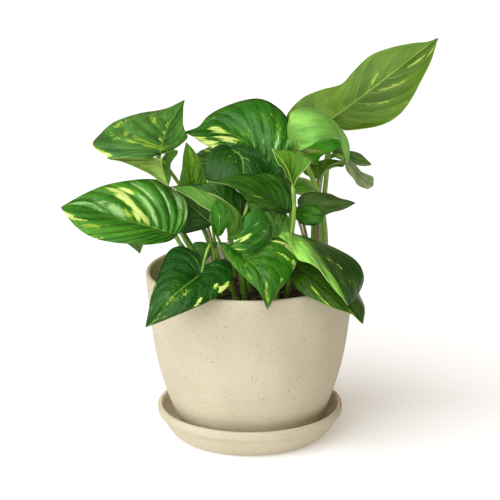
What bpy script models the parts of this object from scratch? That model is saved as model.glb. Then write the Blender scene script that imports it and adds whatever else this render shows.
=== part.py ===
"""Potted pothos plant in a speckled bioplastic pot and saucer. Metres, +Z up, the
saucer stands on Z = 0 and the pot's axis is the Z axis. The plant's best side is -Y."""

import bmesh
import bpy
import math
from mathutils import Vector

MM = 0.001

# pot and saucer, millimetres
POT_RIM_RADIUS = 82.5
POT_HEIGHT = 135.8
POT_WALL = 3.6
POT_FLOOR = 4.2
POT_LIFT = 5.3            # underside of the pot above the table: saucer floor plus a hair
DRAIN_RADIUS = 5.0
SAUCER_RADIUS = 74.1
SAUCER_HEIGHT = 25.6
SAUCER_FOOT_RADIUS = 55.0
SAUCER_FLOOR = 5.0
SOIL_TOP = 119.0
SOIL_MOUND = 3.0
CLEARANCE = 0.3
ROUND_SIDES = 36

# leaves and their stalks, millimetres
LEAF_THICKNESS = 0.8
LEAF_ROWS = 12
LEAF_COLUMNS = 3          # on each side of the midrib
STALK_FOOT_RADIUS = 2.0
STALK_TOP_RADIUS = 1.2
STALK_STEPS = 5
LEAF_GAP = 0.6            # between the leaf and its stalk, square to the leaf
NOTCH_GAP = 2.4           # and along it
FOOT_GAP = 1.4            # lowest stalk ring above the soil

# Each leaf: stops on the midrib from base to tip; stops round the left edge and round the
# right edge, base to tip (left and right seen from the upper side, tip away); how much the
# left and right half arch (part of the half's width, up is positive); how far the lobes
# reach back behind the base.
LEAVES = {
    "far_left": (
        ((-57, -34, 174), (-100, -44, 190), (-145, -50, 201)),
        ((-67, -46, 171), (-84, -56, 173), (-103, -60, 175), (-121, -62, 181),
         (-135, -58, 189)),
        ((-50, -26, 181), (-48, -20, 189), (-51, -14, 198), (-61, -12, 206), (-73, -15, 213),
         (-93, -20, 214), (-112, -30, 213), (-131, -42, 207)),
        (0.10, 0.12), 0.1),
    "upper_left": (
        ((-70, -16, 234), (-65, 16, 247), (-52, 46, 263)),
        ((-83, -28, 234), (-96, -28, 235), (-109, -22, 233), (-122, -8, 238), (-118, 4, 244),
         (-107, 16, 252), (-88, 32, 254), (-69, 42, 256)),
        ((-58, -4, 236), (-49, 6, 241), (-53, 26, 248), (-53, 38, 257)),
        (0.10, -0.10), 0.1),
    "under_upper_left": (
        ((-69, -25, 232), (-67, -26, 224), (-63, -31, 212)),
        ((-76, -20, 233), (-85, -16, 234), (-102, -12, 233), (-111, -12, 230),
         (-99, -17, 228), (-80, -25, 222), (-71, -29, 217)),
        ((-62, -12, 236), (-56, -10, 235), (-61, -19, 227), (-61, -27, 219)),
        (0.05, 0.05), 0.0),
    "top_back": (
        ((18, 4, 212), (-10, 32, 236), (-52, 24, 242)),
        ((9, 8, 210), (-12, 17, 217), (-29, 18, 230), (-40, 21, 235)),
        ((27, 8, 210), (34, 14, 216), (38, 18, 225), (37, 24, 234), (34, 32, 243),
         (25, 42, 255), (10, 50, 262), (-7, 54, 260), (-24, 50, 255), (-34, 42, 250),
         (-41, 32, 244)),
        (0.12, 0.16), 0.1),
    "heart_middle": (
        ((-16, 8, 233), (-6, -8, 228), (-6, -27, 209)),
        ((-7, 6, 237), (1, 2, 236), (10, -2, 230), (15, -6, 221), (14, -16, 212)),
        ((-24, 4, 236), (-31, 0, 233), (-34, -5, 225), (-34, -11, 215), (-27, -18, 206)),
        (0.12, 0.12), 0.1),
    "long_middle": (
        ((32, -24, 190), (1, -38, 211), (-34, -46, 221)),
        ((21, -38, 193), (9, -45, 199), (-4, -49, 209), (-19, -48, 218)),
        ((32, -16, 201), (29, -11, 211), (18, -12, 217), (3, -20, 220), (-10, -32, 221),
         (-23, -42, 221)),
        (0.10, 0.12), 0.1),
    "rolled_long": (
        ((-16, -50, 176), (-17, -56, 185), (-20, -60, 195), (-28, -60, 200), (-38, -56, 205),
         (-48, -48, 210), (-61, -38, 214)),
        ((-9, -56, 178), (-5, -58, 187), (-6, -60, 195), (-10, -61, 202), (-18, -60, 208),
         (-26, -57, 213), (-36, -51, 215), (-46, -44, 216)),
        ((-12, -42, 174), (-5, -41, 182), (-1, -38, 192), (-3, -36, 203), (-12, -35, 211),
         (-25, -35, 216), (-39, -36, 216)),
        (-0.16, -0.10), 0.0),
    "small_bright": (
        ((-25, -61, 180), (-23, -70, 198), (-25, -66, 212)),
        ((-29, -66, 189), (-30, -67, 201), (-28, -66, 208)),
        ((-20, -65, 186), (-15, -70, 200), (-18, -69, 206), (-23, -67, 210)),
        (0.0, 0.10), 0.0),
    "glossy_front": (
        ((9, -40, 197), (14, -59, 189), (5, -74, 181), (-15, -78, 178)),
        ((16, -38, 193), (19, -48, 187), (17, -60, 181), (11, -69, 176), (4, -74, 174),
         (-5, -78, 174), (-11, -79, 175)),
        ((3, -48, 198), (-3, -57, 196), (-5, -64, 192), (-6, -70, 186), (-10, -76, 183)),
        (0.16, 0.20), 0.1),
    "front_centre": (
        ((-9, -63, 166), (6, -84, 161), (13, -98, 134)),
        ((9, -51, 170), (21, -52, 176), (30, -59, 175), (36, -64, 169), (35, -70, 161),
         (29, -80, 152), (21, -88, 145)),
        ((-17, -63, 175), (-25, -66, 177), (-19, -69, 169), (-11, -79, 161), (-2, -89, 154),
         (7, -95, 147)),
        (0.12, 0.10), 0.1),
    "front_right_top": (
        ((30, -60, 184), (41, -76, 182), (54, -90, 169), (68, -93, 147), (74, -92, 135)),
        ((39, -55, 176), (54, -47, 169), (66, -46, 167), (75, -50, 163), (83, -56, 156),
         (87, -62, 147), (83, -76, 140)),
        ((22, -70, 183), (30, -84, 180), (36, -95, 173), (45, -102, 171), (53, -103, 165),
         (60, -99, 155), (68, -97, 144)),
        (0.01, 0.12), 0.0),
    "front_right_low": (
        ((32, -50, 156), (58, -74, 144), (86, -84, 118)),
        ((46, -40, 159), (66, -39, 154), (79, -45, 141), (86, -60, 130), (87, -75, 124)),
        ((30, -64, 151), (36, -76, 144), (45, -86, 139), (59, -91, 135), (73, -91, 129)),
        (0.12, 0.12), 0.1),
    "front_left": (
        ((-37, -66, 152), (-56, -90, 144), (-79, -98, 120)),
        ((-22, -51, 160), (-16, -57, 160), (-13, -66, 155), (-15, -79, 148), (-29, -91, 140),
         (-47, -99, 133), (-64, -102, 127)),
        ((-40, -50, 164), (-53, -46, 168), (-63, -52, 165), (-69, -68, 155), (-74, -84, 141),
         (-77, -94, 130)),
        (0.12, 0.10), 0.0),
    "small_left": (
        ((-32, -42, 170), (-32, -48, 166), (-35, -53, 158)),
        ((-25, -42, 170), (-29, -47, 164)),
        ((-44, -42, 169), (-39, -50, 163)),
        (0.1, 0.1), 0.1),
    "back_left": (
        ((-98, 40, 182), (-98, 56, 156), (-90, 60, 131)),
        ((-118, 44, 177), (-106, 60, 146)),
        ((-74, 30, 180), (-85, 52, 147)),
        (0.1, 0.1), 0.28),
    "tall_right": (
        ((64, 26, 251), (106, 42, 280), (148, 34, 316)),
        ((75, 16, 246), (97, 15, 248), (114, 17, 256), (128, 22, 271), (139, 28, 293),
         (144, 32, 304)),
        ((48, 32, 241), (34, 40, 241), (29, 45, 248), (33, 49, 255), (43, 53, 264),
         (57, 56, 270), (73, 58, 274), (83, 58, 284), (96, 56, 297), (112, 50, 305),
         (129, 43, 310), (140, 38, 312)),
        (0.08, 0.10), 0.0),
    "dome_right": (
        ((39, -6, 234), (35, -13, 248), (31, -11, 262), (36, -5, 267), (47, 2, 266),
         (61, 10, 257), (71, 14, 247), (75, 14, 232), (76, 12, 217)),
        ((42, -16, 238), (50, -27, 246), (57, -29, 250), (65, -23, 249), (71, -9, 243),
         (74, 4, 229)),
        ((43, 8, 229), (48, 14, 224), (53, 18, 216), (56, 22, 222), (64, 25, 226),
         (70, 23, 230), (74, 17, 228)),
        (-0.28, -0.25), 0.0),
    "underside_middle": (
        ((33, -34, 212), (28, -30, 227), (17, -20, 240)),
        ((36, -34, 219), (40, -32, 224), (43, -29, 226), (47, -23, 231), (40, -20, 235),
         (30, -19, 238), (23, -19, 238)),
        ((31, -35, 218), (28, -35, 223), (25, -34, 228), (22, -32, 231), (19, -25, 236)),
        (0.12, 0.10), 0.0),
    "shade_right": (
        ((54, 6, 208), (64, 12, 218), (77, 20, 220)),
        ((57, 4, 213), (61, 8, 216), (68, 13, 217), (74, 19, 215)),
        ((47, 8, 210), (42, 14, 212), (44, 20, 216), (53, 27, 218), (66, 27, 219)),
        (0.1, 0.1), 0.0),
    "hanging_right": (
        ((76, 30, 219), (84, 36, 206), (99, 40, 194)),
        ((81, 38, 214), (90, 45, 203), (98, 46, 199)),
        ((76, 26, 212), (81, 29, 203), (88, 33, 195), (94, 37, 192)),
        (0.1, 0.1), 0.1),
    "tip_right": (
        ((64, 56, 221), (83, 74, 209), (100, 92, 198)),
        ((71, 68, 218), (79, 80, 210), (87, 87, 208), (93, 91, 205)),
        ((70, 58, 212), (79, 68, 206), (88, 78, 201), (95, 87, 198)),
        (0.1, 0.1), 0.1),
    "right_mid": (
        ((38, -16, 192), (61, -10, 192), (83, -2, 191)),
        ((38, -10, 197), (43, -7, 200), (50, -5, 201), (60, -1, 198), (72, 1, 194)),
        ((40, -22, 187), (50, -23, 185), (59, -19, 186), (67, -14, 187), (75, -7, 188)),
        (0.1, 0.1), 0.1),
    "round_right": (
        ((36, -22, 188), (46, -33, 190), (57, -38, 190)),
        ((36, -19, 192), (43, -25, 197), (51, -31, 197), (55, -36, 194)),
        ((38, -27, 183), (43, -33, 182), (50, -37, 183), (55, -38, 186)),
        (0.2, 0.2), 0.3),
    "shade_left": (
        ((-29, -14, 177), (-42, -12, 188), (-60, -10, 202)),
        ((-34, -13, 174), (-43, -12, 171), (-53, -11, 170), (-59, -10, 178), (-61, -9, 191)),
        ((-24, -12, 184), (-28, -10, 196), (-38, -9, 204), (-50, -8, 206)),
        (0.1, 0.1), 0.0),
    "upright_left": (
        ((-45, 2, 196), (-47, 0, 219), (-50, 4, 239)),
        ((-53, 2, 201), (-55, 1, 209), (-53, 0, 220), (-52, 2, 230)),
        ((-35, 3, 200), (-34, 3, 209), (-39, 2, 225), (-46, 3, 235)),
        (0.1, 0.1), 0.1),
    "inner_striped": (
        ((28, -10, 185), (6, -22, 197), (-11, -26, 196)),
        ((31, -14, 176), (27, -25, 168), (15, -28, 170), (1, -29, 180), (-7, -29, 190)),
        ((27, -6, 196), (15, -8, 207), (1, -16, 210), (-9, -21, 204)),
        (0.1, 0.1), 0.1),
    "rear_middle": (
        ((-20, 52, 205), (-22, 80, 214), (-26, 108, 198)),
        ((-52, 62, 206), (-44, 92, 206)),
        ((10, 64, 208), (2, 94, 206)),
        (0.12, 0.12), 0.28),
    "rear_right": (
        ((26, 46, 192), (36, 78, 190), (42, 106, 168)),
        ((8, 66, 196), (18, 94, 180)),
        ((52, 56, 184), (56, 90, 176)),
        (0.12, 0.12), 0.28),
}

# Stalks that reach the leaf from its upper side, over the notch; the rest come from below.
OVER_THE_TOP = ("under_upper_left", "front_left")

# Each stalk: where it leaves the soil (X, Y), then the point half way along it.
STALKS = {
    "far_left": ((-30, -18), (-46, -28, 148)),
    "upper_left": ((-25, 2), (-66, 6, 190)),
    "under_upper_left": ((-20, 8), (-42, 4, 180)),
    "top_back": ((6, 4), (14, 8, 165)),
    "heart_middle": ((-6, 8), (-12, 4, 185)),
    "long_middle": ((20, -8), (30, -14, 155)),
    "rolled_long": ((-5, -22), (-9, -35, 152)),
    "small_bright": ((-11, -41), (-18, -48, 156)),
    "glossy_front": ((2, -14), (-2, -26, 155)),
    "front_centre": ((-4, -34), (-6, -52, 146)),
    "front_right_top": ((20, -36), (24, -42, 158)),
    "front_right_low": ((28, -22), (31, -38, 140)),
    "front_left": ((-25, -34), (-29, -59, 172)),
    "small_left": ((-20, -22), (-27, -34, 148)),
    "back_left": ((-34, 22), (-72, 20, 172)),
    "tall_right": ((50, 24), (60, 38, 190)),
    "dome_right": ((54, -4), (58, 4, 176)),
    "underside_middle": ((14, -26), (31, -38, 170)),
    "shade_right": ((48, 8), (54, 14, 165)),
    "hanging_right": ((52, 34), (56, 44, 200)),
    "tip_right": ((52, 38), (56, 52, 182)),
    "right_mid": ((46, -6), (46, -12, 155)),
    "round_right": ((44, -17), (45, -24, 150)),
    "shade_left": ((-14, -8), (-25, -8, 148)),
    "upright_left": ((-24, -16), (-32, 0, 166)),
    "inner_striped": ((10, -16), (8, -22, 160)),
    "rear_middle": ((-12, 30), (-17, 40, 168)),
    "rear_right": ((14, 26), (22, 36, 160)),
}


def clear_scene():
    """Start from nothing."""
    for thing in list(bpy.data.objects):
        bpy.data.objects.remove(thing, do_unlink=True)


def dress(thing, colour, roughness):
    """Give one object its own plain material."""
    material = bpy.data.materials.new(thing.name + "_mat")
    material.use_nodes = True
    shader = material.node_tree.nodes["Principled BSDF"]
    shader.inputs["Base Color"].default_value = (*colour, 1.0)
    shader.inputs["Roughness"].default_value = roughness
    thing.data.materials.append(material)


def place(name, build):
    """Turn a finished bmesh into a smooth-shaded object of that name."""
    for face in build.faces:
        face.smooth = True
    mesh = bpy.data.meshes.new(name)
    build.to_mesh(mesh)
    build.free()
    thing = bpy.data.objects.new(name, mesh)
    bpy.context.collection.objects.link(thing)
    return thing


def turned(name, profile, colour, roughness, ring=False):
    """Spin (radius, height) pairs about the Z axis. A ring is closed from its last pair
    to its first; anything else starts and ends on the axis."""
    build = bmesh.new()
    line = [build.verts.new((radius * MM, 0, height * MM)) for radius, height in profile]
    pairs = list(zip(line, line[1:]))
    if ring:
        pairs.append((line[-1], line[0]))
    edges = [build.edges.new(pair) for pair in pairs]
    bmesh.ops.spin(build, geom=line + edges, cent=(0, 0, 0), axis=(0, 0, 1),
                   angle=2 * math.pi, steps=ROUND_SIDES, use_merge=True)
    bmesh.ops.remove_doubles(build, verts=build.verts, dist=0.00001)
    bmesh.ops.recalc_face_normals(build, faces=build.faces)
    dress(place(name, build), colour, roughness)


def bend(start, middle, end, part):
    """A point on the smooth curve from start through middle to end."""
    pull = 2 * middle - (start + end) / 2
    left = 1 - part
    return left * left * start + 2 * left * part * pull + part * part * end


def along(stops, part):
    """A point on the smooth line through several stops."""
    spans = len(stops) - 1
    span = min(int(part * spans), spans - 1)
    t = part * spans - span
    here, there = stops[span], stops[span + 1]
    before = stops[span - 1] if span > 0 else 2 * here - there
    beyond = stops[span + 2] if span + 2 <= spans else 2 * there - here
    slope = there - before
    dip = 2 * before - 5 * here + 4 * there - beyond
    turn = 3 * here - before - 3 * there + beyond
    return 0.5 * (2 * here + slope * t + dip * t * t + turn * t * t * t)


def evenly(stops, count):
    """Points an even distance apart on the smooth line through the stops."""
    fine = [along(stops, step / 240) for step in range(241)]
    gone = [0.0]
    for here, there in zip(fine, fine[1:]):
        gone.append(gone[-1] + (there - here).length)
    points = []
    span = 0
    for step in range(count + 1):
        goal = gone[-1] * step / count
        while span < 239 and gone[span + 1] < goal:
            span += 1
        share = (goal - gone[span]) / (gone[span + 1] - gone[span])
        points.append(fine[span].lerp(fine[span + 1], share))
    return points


def spot_on(points, part):
    """The point that part of the way along an evenly spaced line."""
    place = max(0.0, min(1.0, part)) * (len(points) - 1)
    low = min(int(place), len(points) - 2)
    return points[low].lerp(points[low + 1], place - low)


def leaf_lines(row):
    """For each row of the leaf from base to tip: the midrib's point and direction, and
    the left and right edges' points."""
    midrib, left, right, _, notch = row
    spine = evenly([Vector(point) for point in midrib], 120)
    base, tip = spine[0], spine[-1]
    first = (spine[4] - base).normalized()
    edges = []
    for side in (left, right):
        stops = [Vector(point) for point in side]
        lobe = stops[0] - base
        back = base + 0.5 * lobe - first * (notch * lobe.length)
        edges.append(evenly([base, back] + stops + [tip], LEAF_ROWS))
    lines = []
    for step in range(LEAF_ROWS + 1):
        part = step / LEAF_ROWS
        rib_part = 0.12 * part + 0.88 * part ** 3
        ahead = spot_on(spine, rib_part + 0.04) - spot_on(spine, rib_part - 0.04)
        lines.append((spot_on(spine, rib_part), ahead.normalized(),
                      edges[0][step], edges[1][step]))
    return lines


def leaf_sheet(row):
    """The leaf's middle surface: rows from base to tip, columns from left to right."""
    arches = row[3]
    sheet = []
    for rib, ahead, left, right in leaf_lines(row):
        line = [rib]
        for side, edge, arch in ((-1, left, arches[0]), (1, right, arches[1])):
            reach = edge - rib
            rise = (side * reach).cross(ahead).normalized()
            for column in range(1, LEAF_COLUMNS + 1):
                out = column / LEAF_COLUMNS
                lift = arch * reach.length * 4 * out * (1 - out)
                point = rib + reach * out + rise * lift
                if side < 0:
                    line.insert(0, point)
                else:
                    line.append(point)
        sheet.append(line)
    return sheet


def leaf(name, row):
    """A leaf blade: a grid laid over the leaf's middle surface, then thickened."""
    sheet = leaf_sheet(row)
    columns = 2 * LEAF_COLUMNS
    build = bmesh.new()
    bmesh.ops.create_grid(build, x_segments=columns, y_segments=LEAF_ROWS, size=0.5)
    for corner in build.verts:
        column = round((corner.co.x + 0.5) * columns)
        step = round((corner.co.y + 0.5) * LEAF_ROWS)
        corner.co = sheet[step][column] * MM
    bmesh.ops.remove_doubles(build, verts=build.verts, dist=0.00001)
    bmesh.ops.triangulate(build, faces=build.faces, quad_method="FIXED")
    blade = place("leaf_" + name, build)
    solid = blade.modifiers.new("Thickness", "SOLIDIFY")
    solid.thickness = LEAF_THICKNESS * MM
    solid.offset = 0
    dress(blade, (0.02, 0.17, 0.015), 0.35)


def stalk(name, leaf_row, way):
    """A leaf stalk from the soil up to just short of the leaf's base."""
    lines = leaf_lines(leaf_row)
    base, ahead, _, _ = lines[0]
    _, _, left, right = lines[LEAF_ROWS // 5]
    up = (right - left).cross(ahead).normalized()
    if name in OVER_THE_TOP:
        up = -2.1 * up
    end = base - ahead * NOTCH_GAP - up * (STALK_TOP_RADIUS + LEAF_THICKNESS / 2 + LEAF_GAP)
    foot_level = soil_height(math.hypot(way[0][0], way[0][1])) + FOOT_GAP
    foot = Vector((way[0][0], way[0][1], foot_level))
    curve = bpy.data.curves.new("stalk_" + name, "CURVE")
    curve.dimensions = "3D"
    curve.bevel_depth = STALK_FOOT_RADIUS * MM
    curve.bevel_resolution = 1
    curve.use_fill_caps = True
    line = curve.splines.new("POLY")
    line.points.add(STALK_STEPS)
    for step, point in enumerate(line.points):
        part = step / STALK_STEPS
        centre = bend(foot, Vector(way[1]), end, part)
        point.co = (*(centre * MM), 1.0)
        point.radius = 1 + (STALK_TOP_RADIUS / STALK_FOOT_RADIUS - 1) * part
    thing = bpy.data.objects.new("stalk_" + name, curve)
    bpy.context.collection.objects.link(thing)
    dress(thing, (0.22, 0.42, 0.08), 0.45)


def soil_height(radius):
    """Height of the soil's gently mounded top at a distance from the pot's axis."""
    return SOIL_TOP + SOIL_MOUND * (1 - (radius / 75.0) ** 2)


def pot():
    """The pot: a bowl that flares quickly from its foot, then rises almost straight."""
    outer = [(50.0, POT_LIFT), (53.0, 7.0), (56.8, 13.0), (60.6, 21.0), (64.6, 31.0),
             (68.6, 43.0), (71.8, 54.0), (74.6, 66.0), (77.6, 84.0), (80.4, 108.0),
             (82.3, 128.0), (POT_RIM_RADIUS, POT_HEIGHT - 1.6), (82.0, POT_HEIGHT - 0.4)]
    lip = [(81.0, POT_HEIGHT), (79.8, POT_HEIGHT - 0.4), (79.2, POT_HEIGHT - 1.6)]
    inner = [(radius - POT_WALL, height) for radius, height in reversed(outer[3:-2])]
    floor = POT_LIFT + POT_FLOOR
    low = [(53.4, 14.6), (49.0, floor), (DRAIN_RADIUS, floor), (DRAIN_RADIUS, POT_LIFT)]
    turned("pot", outer + lip + inner + low, (0.73, 0.66, 0.48), 0.6, ring=True)


def saucer():
    """The saucer: flat foot, curved bowl and a thick rounded lip."""
    outer = [(0, 0), (SAUCER_FOOT_RADIUS, 0), (58.6, 1.0), (62.8, 3.8), (67.2, 8.6),
             (70.2, 13.0), (72.0, 17.0), (73.4, 18.6), (SAUCER_RADIUS, 21.4),
             (73.8, 24.2), (72.8, SAUCER_HEIGHT)]
    inner = [(71.4, SAUCER_HEIGHT - 0.2), (70.4, 24.0), (69.0, 17.0), (65.6, 11.4),
             (61.0, 7.0), (56.0, SAUCER_FLOOR), (0, SAUCER_FLOOR)]
    turned("saucer", outer + inner, (0.73, 0.66, 0.48), 0.6)


def soil():
    """The potting soil, filling the pot to a finger's width below the rim."""
    gap = POT_WALL + CLEARANCE
    wall = [(60.6 - gap, 21.0), (64.6 - gap, 31.0), (68.6 - gap, 43.0), (71.8 - gap, 54.0),
            (74.6 - gap, 66.0), (77.6 - gap, 84.0), (80.4 - gap, 108.0)]
    rim = 80.9 - gap
    floor = POT_LIFT + POT_FLOOR + CLEARANCE
    low = [(0, floor), (48.0, floor), (52.9, 14.8)]
    top = [(rim, soil_height(rim))]
    top += [(radius, soil_height(radius)) for radius in (60.0, 42.0, 24.0)]
    top.append((0, soil_height(0)))
    turned("soil", low + wall + top, (0.05, 0.03, 0.02), 0.95)


clear_scene()
saucer()
pot()
soil()
for leaf_name, leaf_row in LEAVES.items():
    leaf(leaf_name, leaf_row)
    stalk(leaf_name, leaf_row, STALKS[leaf_name])
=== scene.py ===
"""Looks for a potted pothos plant in a speckled bioplastic pot and saucer.

Metres, +Z up, the saucer stands on Z = 0 and the plant's best side is -Y. Tables and sizes
are in millimetres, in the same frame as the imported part."""

import math
import random

import bmesh
import bpy
from mathutils import Matrix, Vector, noise


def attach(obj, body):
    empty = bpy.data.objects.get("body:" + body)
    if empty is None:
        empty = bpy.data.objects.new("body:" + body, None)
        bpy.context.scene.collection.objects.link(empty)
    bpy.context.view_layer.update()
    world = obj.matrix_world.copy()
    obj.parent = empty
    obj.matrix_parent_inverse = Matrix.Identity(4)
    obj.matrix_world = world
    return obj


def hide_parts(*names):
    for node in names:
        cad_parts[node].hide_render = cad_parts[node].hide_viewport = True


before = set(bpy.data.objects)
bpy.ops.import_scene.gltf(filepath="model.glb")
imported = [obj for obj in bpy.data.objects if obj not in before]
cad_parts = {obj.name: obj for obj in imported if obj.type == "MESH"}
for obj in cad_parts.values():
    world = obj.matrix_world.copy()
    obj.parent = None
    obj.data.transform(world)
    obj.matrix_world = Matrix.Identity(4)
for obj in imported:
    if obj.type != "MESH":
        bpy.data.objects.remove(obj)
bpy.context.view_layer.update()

MM = 0.001

# Pot and saucer: (radius, height) pairs of their outsides, from the foot up.
POT_OUTSIDE = ((53.0, 7.0), (56.8, 13.0), (60.6, 21.0), (64.6, 31.0), (68.6, 43.0),
               (71.8, 54.0), (74.6, 66.0), (77.6, 84.0), (80.4, 108.0), (82.3, 128.0),
               (82.5, 134.2))
POT_HEIGHT = 135.8
POT_WALL = 3.6
POT_FLOOR = 4.2
POT_LIFT = 5.3
DRAIN_RADIUS = 5.0
SAUCER_OUTSIDE = ((55.0, 0.0), (58.6, 1.0), (62.6, 3.8), (66.6, 8.6), (69.2, 13.0),
                  (70.5, 15.8), (71.0, 17.2), (72.4, 17.7), (73.6, 18.5), (74.1, 20.6),
                  (74.1, 22.4), (73.9, 24.0))
SAUCER_INSIDE = ((70.4, 23.6), (69.0, 17.0), (65.6, 11.4), (61.0, 7.0), (56.0, 5.0))
SAUCER_HEIGHT = 25.6
SAUCER_FLOOR = 5.0
LATHE_STEPS = 144

# Soil: its side and its lumpy, gently mounded top.
SOIL_SIDE = ((52.9, 14.8), (56.7, 21.0), (64.7, 43.0), (70.7, 66.0), (76.5, 108.0))
SOIL_RIM = 77.0
SOIL_RINGS = 44
SOIL_RADIUS = 75.0                    # where the top is at SOIL_TOP
SOIL_TOP = 119.0
SOIL_MOUND = 3.0                      # how much higher it is in the middle
SOIL_LUMPS = ((55, 2.2), (260, 1.3))  # how many to the metre, and how high
LUMP_ROOM = (0.5, 6.0)                # distances from the pot: no lumps, full lumps
CLEARANCE = 0.3
SCATTER_RADIUS = 70.0                 # how far out chips lie
CHIP_TILT = 0.45                      # radians

# Leaf blades
BLADE_THICKNESS = 0.55
BLADE_ROWS = 60
BLADE_COLUMNS = 16          # on each side of the midrib
VEINS = 9                   # side veins on each half
VEIN_SWEEP = (0.05, 0.11)   # how the side veins curve towards the tip
# DEEPEST_SWELL also sets how dark the painted shade in the valleys along the veins gets
DEEPEST_SWELL = 1.5         # swelling between the veins that shades them fully
FOLD_DEPTH = 0.5            # groove along the midrib
FOLD_WIDTH = 0.10           # its width, as a part of the half's
MARGIN_WAVE = (0.9, 2.6)    # height at the edge, and how many waves along the blade
ROOMY_HALF = 18.0           # halves narrower than this have less relief
NO_WIDTH = 0.001            # a half narrower than this is only its midrib
RIB_EVENNESS = 0.12         # 1 spaces the rows evenly on the midrib, 0 crowds the base
RIB_STEP = 0.04             # part of the midrib over which its direction is taken
WAVE_STEP = 1.7             # shift of the margin's waves from leaf to leaf
SEED_STEP = 1.37            # shift of the marbling's noise from leaf to leaf
MARK_FALL = 0.7             # how quickly a marking fades outwards
TONE_TURN = 5.0             # how sharply one half's green turns into the other's

# Petioles
PETIOLE_FOOT = 2.0
PETIOLE_TOP = 1.3
PETIOLE_POINTS = 22
PETIOLE_ROOT = 3.0              # depth below the soil
PETIOLE_GAP = 0.75              # from its end to the middle of the blade
SHEATH = (0.5, 0.28)            # extra radius at the foot, and how far it reaches up
KNEE = (0.35, 0.93, 0.035)      # extra radius near the top, where it is, how long it is
RIDGE = (0.7, 0.12)             # midrib ridge: radius that tapers away, radius that stays
RIDGE_DROP = (0.25, 0.45)       # its distance below the blade: fixed, and part of radius
OLD_STALKS = ("right_mid", "shade_right", "back_left", "tip_right", "round_right",
              "upright_left")

# Studio
KEY_STRENGTH = 4.2
KEY_FROM = (-0.64, -0.74, 0.72)
KEY_SPREAD = 85.0               # degrees
KEY_COLOUR = (0.95, 1.0, 1.08)
FILL_STRENGTH = 0.27
FILL_COLOUR = (1.0, 0.78, 0.52, 1.0)
PAPER_REACH = 6.0               # metres
PAPER_GLOW = 0.24
PAPER_GLOW_COLOUR = (1.0, 0.97, 0.92, 1.0)
CAMERA_PLACE = (0.0, -1.85, 0.70)  # metres
CAMERA_TILT = 73.5              # degrees
CAMERA_LENS = 175.6
CAMERA_SENSOR = 36.0

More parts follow.
